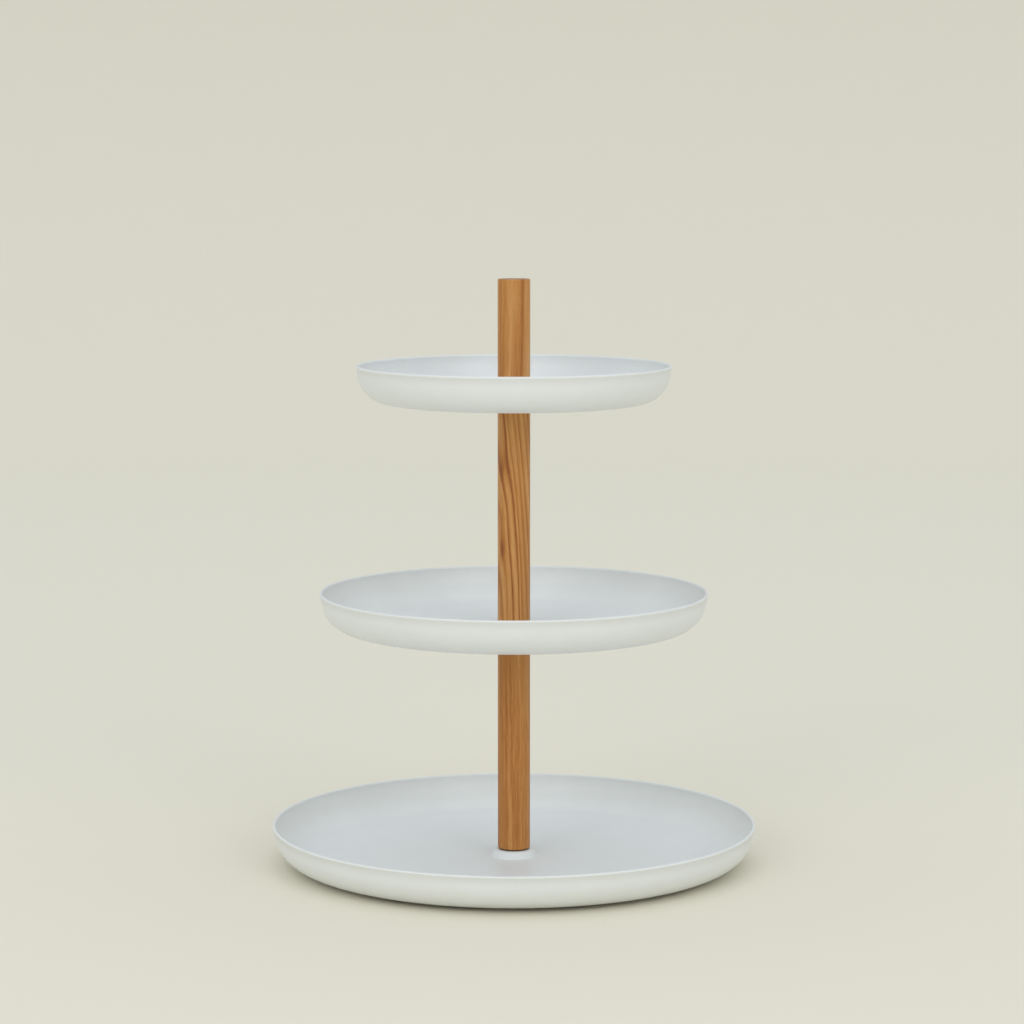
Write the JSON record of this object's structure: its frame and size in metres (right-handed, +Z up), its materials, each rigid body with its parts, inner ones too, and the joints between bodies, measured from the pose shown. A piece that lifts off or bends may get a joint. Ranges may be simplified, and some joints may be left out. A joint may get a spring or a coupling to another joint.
{
  "type": "tiered cake stand",
  "caption": "Tiered cake stand: round dished trays on a slim wooden column whose posts screw together through the trays and end in a straight handle.",
  "frame": {"origin": "on the table, under the common axis of the trays and posts", "axes": "+Z up along the column, -Y towards the viewer, +X to the viewer's right"},
  "size_m": [0.3, 0.3, 0.3626],
  "materials": {
    "white_powder_coat": "satin white powder coat",
    "lower_post_wood": "oiled oak, darker straight grain",
    "middle_post_wood": "oiled oak, curved grain with a small knot",
    "handle_wood": "oiled oak, lighter grain",
    "brass": "turned",
    "zinc_plate": "bright zinc plate",
    "black_rubber": "matt"
  },
  "bodies": {
    "base": {"bottom_tray": "white_powder_coat", "base_screw": "zinc_plate", "base_washer": "zinc_plate", "front_left_foot": "black_rubber", "right_foot": "black_rubber", "back_left_foot": "black_rubber"},
    "lower_post_seat": {"lower_post_washer": "black_rubber"},
    "lower_post": {"lower_post": "lower_post_wood", "lower_post_base_insert": "brass", "lower_post_top_insert": "brass", "middle_tray_under_washer": "black_rubber"},
    "middle_tray": {"middle_tray": "white_powder_coat"},
    "middle_post_seat": {"middle_post_washer": "black_rubber"},
    "middle_post": {"middle_post": "middle_post_wood", "middle_post_stud": "zinc_plate", "middle_post_top_insert": "brass", "top_tray_under_washer": "black_rubber"},
    "top_tray": {"top_tray": "white_powder_coat"},
    "handle_seat": {"handle_washer": "black_rubber"},
    "handle": {"handle_post": "handle_wood", "handle_stud": "zinc_plate"}
  },
  "joints": [
    {"name": "lower_post_turn", "type": "hinge", "parent": "base", "child": "lower_post_seat", "pos_m": [0, 0, 0.0077], "axis": [0, 0, 1], "range_deg": [0, 3601]},
    {"name": "lower_post_lift", "type": "slide", "parent": "lower_post_seat", "child": "lower_post", "axis": [0, 0, 1], "range_m": [0, 0.01]},
    {"name": "middle_tray_turn", "type": "hinge", "parent": "lower_post", "child": "middle_tray", "pos_m": [0, 0, 0.1467], "axis": [0, 0, 1], "continuous": true},
    {"name": "middle_post_turn", "type": "hinge", "parent": "lower_post", "child": "middle_post_seat", "pos_m": [0, 0, 0.1479], "axis": [0, 0, 1], "range_deg": [0, 3601]},
    {"name": "middle_post_lift", "type": "slide", "parent": "middle_post_seat", "child": "middle_post", "axis": [0, 0, 1], "range_m": [0, 0.01]},
    {"name": "top_tray_turn", "type": "hinge", "parent": "middle_post", "child": "top_tray", "pos_m": [0, 0, 0.2869], "axis": [0, 0, 1], "continuous": true},
    {"name": "handle_turn", "type": "hinge", "parent": "middle_post", "child": "handle_seat", "pos_m": [0, 0, 0.2881], "axis": [0, 0, 1], "range_deg": [0, 3601]},
    {"name": "handle_lift", "type": "slide", "parent": "handle_seat", "child": "handle", "axis": [0, 0, 1], "range_m": [0, 0.01]}
  ],
  "couplings": [
    {"joint": "lower_post_turn", "follows": "lower_post_lift", "rad_per_m": 6283.2},
    {"joint": "middle_post_turn", "follows": "middle_post_lift", "rad_per_m": 6283.2},
    {"joint": "handle_turn", "follows": "handle_lift", "rad_per_m": 6283.2}
  ]
}
